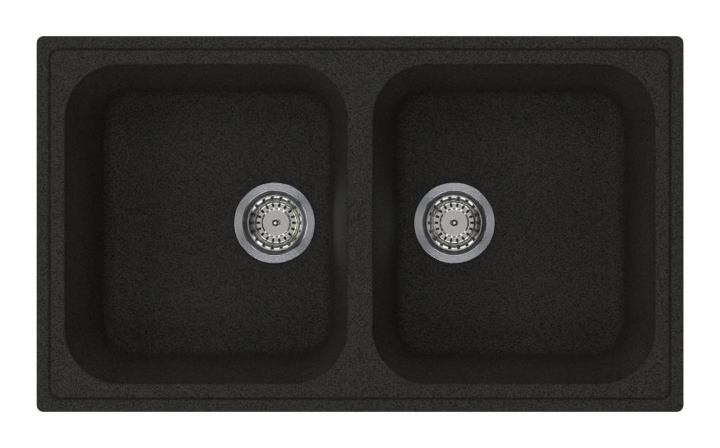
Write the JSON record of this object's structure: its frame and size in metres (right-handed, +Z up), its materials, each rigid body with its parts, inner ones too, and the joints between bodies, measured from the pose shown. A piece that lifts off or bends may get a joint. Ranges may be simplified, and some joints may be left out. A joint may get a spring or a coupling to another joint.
{
  "type": "kitchen sink",
  "caption": "Inset double bowl kitchen sink in black stone composite, with basket strainers, an overflow in one bowl, waste bodies and swinging fixing clips.",
  "frame": {"origin": "middle of the rim, in the plane of its underside, which is the worktop's surface", "axes": "+Z up out of the bowls, +X to the right and +Y to the back, as the picture shows the sink"},
  "size_m": [0.86, 0.5, 0.3026],
  "materials": {
    "composite": "matt black with fine lighter grains",
    "foam": "closed-cell foam strip",
    "brushed_steel": "circular brushing",
    "polished_steel": "polished stainless steel",
    "chrome": "bright plated",
    "rubber": "black rubber",
    "waste_plastic": "light grey moulded plastic",
    "pipe_plastic": "light grey tube",
    "nut_plastic": "light grey ribbed nut",
    "pin_plastic": "black moulded plastic",
    "zinc_steel": "zinc plated",
    "brass": "turned brass"
  },
  "bodies": {
    "sink": {"sink_basin": "composite", "worktop_seal": "foam", "clip_screws": "zinc_steel", "clip_inserts": "brass", "left_strainer_flange": "brushed_steel", "left_flange_gasket": "rubber", "left_body_gasket": "rubber", "left_waste_body": "waste_plastic", "left_waste_screw": "polished_steel", "left_waste_nut": "brass", "right_strainer_flange": "brushed_steel", "right_flange_gasket": "rubber", "right_body_gasket": "rubber", "right_waste_body": "waste_plastic", "right_waste_screw": "polished_steel", "right_waste_nut": "brass", "overflow_gasket": "rubber", "overflow_elbow": "waste_plastic", "overflow_screws": "zinc_steel", "overflow_inserts": "brass", "overflow_pipe": "pipe_plastic", "overflow_rings": "rubber", "coupling_nuts": "nut_plastic"},
    "left_strainer": {"left_strainer_basket": "polished_steel", "left_basket_knob": "chrome", "left_basket_plug": "rubber", "left_basket_pin": "pin_plastic"},
    "right_strainer": {"right_strainer_basket": "polished_steel", "right_basket_knob": "chrome", "right_basket_plug": "rubber", "right_basket_pin": "pin_plastic"},
    "front_left_clip": {"clip_front_left": "zinc_steel"},
    "front_middle_clip": {"clip_front_middle": "zinc_steel"},
    "front_right_clip": {"clip_front_right": "zinc_steel"},
    "back_left_clip": {"clip_back_left": "zinc_steel"},
    "back_middle_clip": {"clip_back_middle": "zinc_steel"},
    "back_right_clip": {"clip_back_right": "zinc_steel"},
    "left_clip": {"clip_left": "zinc_steel"},
    "right_clip": {"clip_right": "zinc_steel"}
  },
  "joints": [
    {"name": "left_basket_lift", "type": "slide", "parent": "sink", "child": "left_strainer", "axis": [0, 0, 1], "range_m": [-0.006, 0.266]},
    {"name": "right_basket_lift", "type": "slide", "parent": "sink", "child": "right_strainer", "axis": [0, 0, 1], "range_m": [-0.006, 0.266]},
    {"name": "front_left_clip_swing", "type": "hinge", "parent": "sink", "child": "front_left_clip", "pos_m": [-0.3, -0.23, -0.0494], "axis": [0, 0, -1], "range_deg": [0, 90]},
    {"name": "front_middle_clip_swing", "type": "hinge", "parent": "sink", "child": "front_middle_clip", "pos_m": [0, -0.23, -0.0494], "axis": [0, 0, -1], "range_deg": [0, 90]},
    {"name": "front_right_clip_swing", "type": "hinge", "parent": "sink", "child": "front_right_clip", "pos_m": [0.3, -0.23, -0.0494], "axis": [0, 0, -1], "range_deg": [0, 90]},
    {"name": "back_left_clip_swing", "type": "hinge", "parent": "sink", "child": "back_left_clip", "pos_m": [-0.3, 0.23, -0.0494], "axis": [0, 0, 1], "range_deg": [0, 90]},
    {"name": "back_middle_clip_swing", "type": "hinge", "parent": "sink", "child": "back_middle_clip", "pos_m": [0, 0.23, -0.0494], "axis": [0, 0, 1], "range_deg": [0, 90]},
    {"name": "back_right_clip_swing", "type": "hinge", "parent": "sink", "child": "back_right_clip", "pos_m": [0.3, 0.23, -0.0494], "axis": [0, 0, 1], "range_deg": [0, 90]},
    {"name": "left_clip_swing", "type": "hinge", "parent": "sink", "child": "left_clip", "pos_m": [-0.41, 0, -0.0494], "axis": [0, 0, 1], "range_deg": [0, 90]},
    {"name": "right_clip_swing", "type": "hinge", "parent": "sink", "child": "right_clip", "pos_m": [0.41, 0, -0.0494], "axis": [0, 0, -1], "range_deg": [0, 90]}
  ]
}
